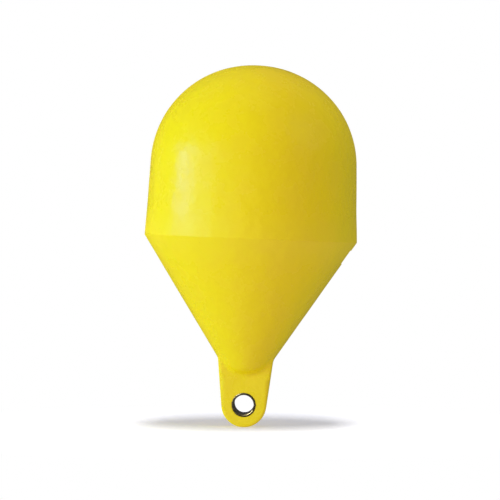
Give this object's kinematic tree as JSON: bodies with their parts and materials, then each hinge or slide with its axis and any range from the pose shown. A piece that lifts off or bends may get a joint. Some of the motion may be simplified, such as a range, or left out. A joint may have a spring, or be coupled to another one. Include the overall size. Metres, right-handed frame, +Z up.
{
  "type": "conical marker buoy",
  "caption": "Moulded marker buoy with a round dome, a conical underside and a flat mooring lug whose eye has a steel sleeve for a shackle pin.",
  "frame": {"origin": "on the float's axis, on the plane of its widest ring, which is the waterline of the moored buoy", "axes": "+Z up along the float's axis, Y along the mooring eye with the front at -Y, +X towards the filler plug"},
  "size_m": [0.4, 0.3998, 0.6798],
  "materials": {
    "float_skin": "yellow moulded polyethylene, satin, with a fine pebbled skin",
    "sleeve_steel": "drawn steel tube, dulled inside",
    "plug_plastic": "yellow moulded polyethylene, smooth"
  },
  "bodies": {
    "root": {"float_shell": "float_skin", "eye_sleeve": "sleeve_steel", "filler_plug": "plug_plastic"}
  },
  "joints": []
}
